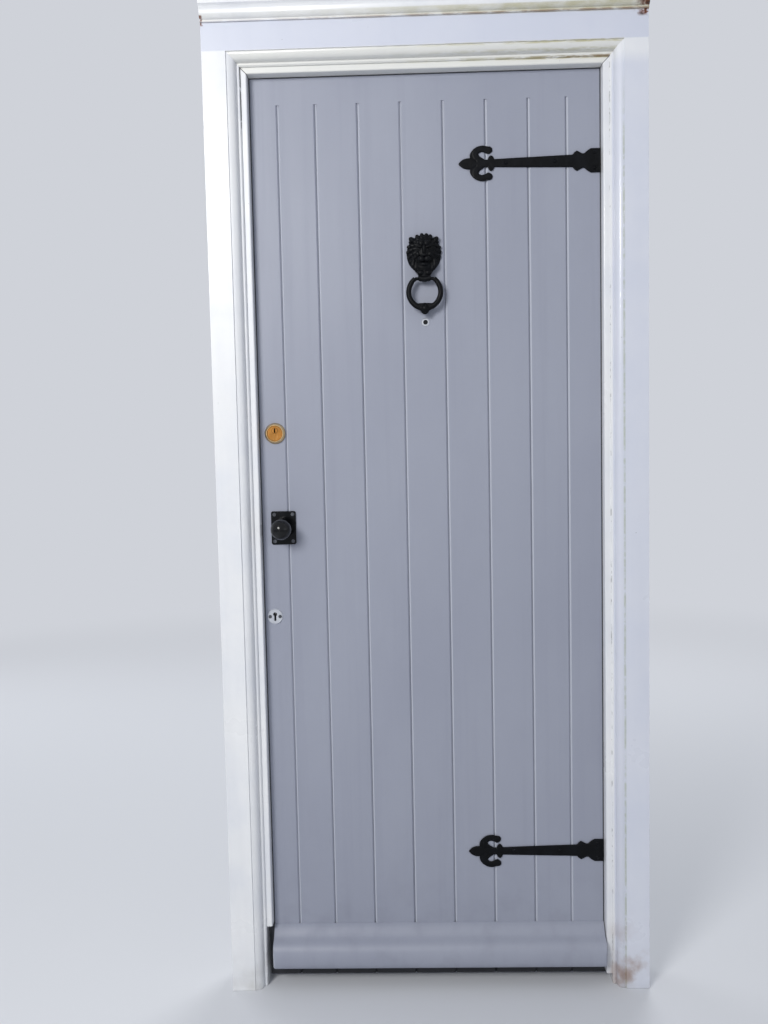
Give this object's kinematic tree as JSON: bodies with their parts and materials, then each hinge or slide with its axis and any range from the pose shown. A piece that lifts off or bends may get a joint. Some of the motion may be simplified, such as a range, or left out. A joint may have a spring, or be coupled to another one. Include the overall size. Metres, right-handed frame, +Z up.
{
  "type": "boarded entrance door",
  "caption": "Grey boarded cottage door hung in a white moulded frame, with black strap hinge fronts, a lion ring knocker, a ball knob, a viewer, locks and a weatherboard.",
  "frame": {"origin": "on the floor under the middle of the door's overall width and depth", "axes": "+X from the lock side to the hinge side seen from outside, +Y into the house, +Z up"},
  "size_m": [0.918, 0.187, 2.129],
  "materials": {
    "frame_paint": "white gloss paint on softwood, dirty along its ledges",
    "leaf_paint": "cool light grey satin paint",
    "black_iron": "black painted casting",
    "knob_enamel": "gloss black",
    "lock_brass": "worn polished brass",
    "viewer_chrome": "bright plated",
    "viewer_glass": "dark lens",
    "fitting_steel": "plain zinc plated steel",
    "bright_screw": "bright screw heads",
    "nightlatch_enamel": "grey enamel",
    "painted_fitting": "painted over in the leaf's grey"
  },
  "bodies": {
    "frame": {"lock_jamb": "frame_paint", "hinge_jamb": "frame_paint", "head": "frame_paint", "drip_moulding": "frame_paint", "lock_bead": "frame_paint", "hinge_bead": "frame_paint", "head_bead": "frame_paint", "hinge_top_frame_leaf": "fitting_steel", "hinge_middle_frame_leaf": "fitting_steel", "hinge_bottom_frame_leaf": "fitting_steel", "hinge_pins": "fitting_steel", "nightlatch_staple": "nightlatch_enamel", "latch_keep": "fitting_steel", "deadlock_keep": "fitting_steel", "frame_screws": "fitting_steel"},
    "leaf": {"lock_stile": "leaf_paint", "hinge_stile": "leaf_paint", "top_rail": "leaf_paint", "middle_rail": "leaf_paint", "bottom_rail": "leaf_paint", "upper_brace": "leaf_paint", "lower_brace": "leaf_paint", "board_1": "leaf_paint", "board_2": "leaf_paint", "board_3": "leaf_paint", "board_4": "leaf_paint", "board_5": "leaf_paint", "board_6": "leaf_paint", "board_7": "leaf_paint", "weatherboard": "leaf_paint", "hinge_top_door_leaf": "fitting_steel", "hinge_middle_door_leaf": "fitting_steel", "hinge_bottom_door_leaf": "fitting_steel", "upper_hinge_front": "black_iron", "lower_hinge_front": "black_iron", "strap_screws": "black_iron", "knocker_head": "black_iron", "knocker_strike": "black_iron", "knocker_bolts": "fitting_steel", "viewer_barrel": "viewer_chrome", "viewer_sleeve": "viewer_chrome", "viewer_lens": "viewer_glass", "cylinder_ring": "lock_brass", "cylinder_body": "lock_brass", "nightlatch_case": "nightlatch_enamel", "outer_knob_plate": "knob_enamel", "inner_knob_plate": "knob_enamel", "latch_case": "fitting_steel", "deadlock_case": "fitting_steel", "escutcheons": "painted_fitting", "leaf_screws": "bright_screw"},
    "knocker_ring": {"knocker_ring": "black_iron"},
    "knobs": {"outer_knob": "knob_enamel", "inner_knob": "knob_enamel"},
    "latch_bolt": {"latch_bolt": "lock_brass"},
    "nightlatch_turn": {"nightlatch_turn": "lock_brass"},
    "nightlatch_bolt": {"nightlatch_bolt": "lock_brass"},
    "nightlatch_snib": {"nightlatch_snib": "lock_brass"},
    "cylinder_plug": {"cylinder_plug": "lock_brass"},
    "dead_bolt": {"dead_bolt": "lock_brass"}
  },
  "joints": [
    {"name": "leaf_hinge", "type": "hinge", "parent": "frame", "child": "leaf", "pos_m": [0.3825, 0.029, 1.041], "axis": [0, 0, -1], "range_deg": [0, 110]},
    {"name": "knocker_swing", "type": "hinge", "parent": "leaf", "child": "knocker_ring", "pos_m": [-0.006, -0.0405, 1.55095], "axis": [-1, 0, 0], "range_deg": [0, 80]},
    {"name": "knob_turn", "type": "hinge", "parent": "leaf", "child": "knobs", "pos_m": [-0.323, 0, 1.025], "axis": [0, 1, 0], "range_deg": [0, 60]},
    {"name": "latch_slide", "type": "slide", "parent": "leaf", "child": "latch_bolt", "axis": [-1, 0, 0], "range_m": [0, 0.012]},
    {"name": "nightlatch_knob_turn", "type": "hinge", "parent": "leaf", "child": "nightlatch_turn", "pos_m": [-0.336, 0, 1.237], "axis": [0, 1, 0], "range_deg": [0, 60]},
    {"name": "nightlatch_slide", "type": "slide", "parent": "leaf", "child": "nightlatch_bolt", "axis": [-1, 0, 0], "range_m": [0, 0.014]},
    {"name": "snib_slide", "type": "slide", "parent": "leaf", "child": "nightlatch_snib", "axis": [1, 0, 0], "range_m": [0, 0.008]},
    {"name": "key_turn", "type": "hinge", "parent": "leaf", "child": "cylinder_plug", "pos_m": [-0.336, 0, 1.237], "axis": [0, 1, 0], "range_deg": [0, 90]},
    {"name": "dead_bolt_slide", "type": "slide", "parent": "leaf", "child": "dead_bolt", "axis": [-1, 0, 0], "range_m": [0, 0.02]}
  ],
  "couplings": [
    {"joint": "latch_slide", "follows": "knob_turn", "m_per_rad": 0.01145},
    {"joint": "nightlatch_knob_turn", "follows": "nightlatch_slide", "rad_per_m": 74.79}
  ]
}
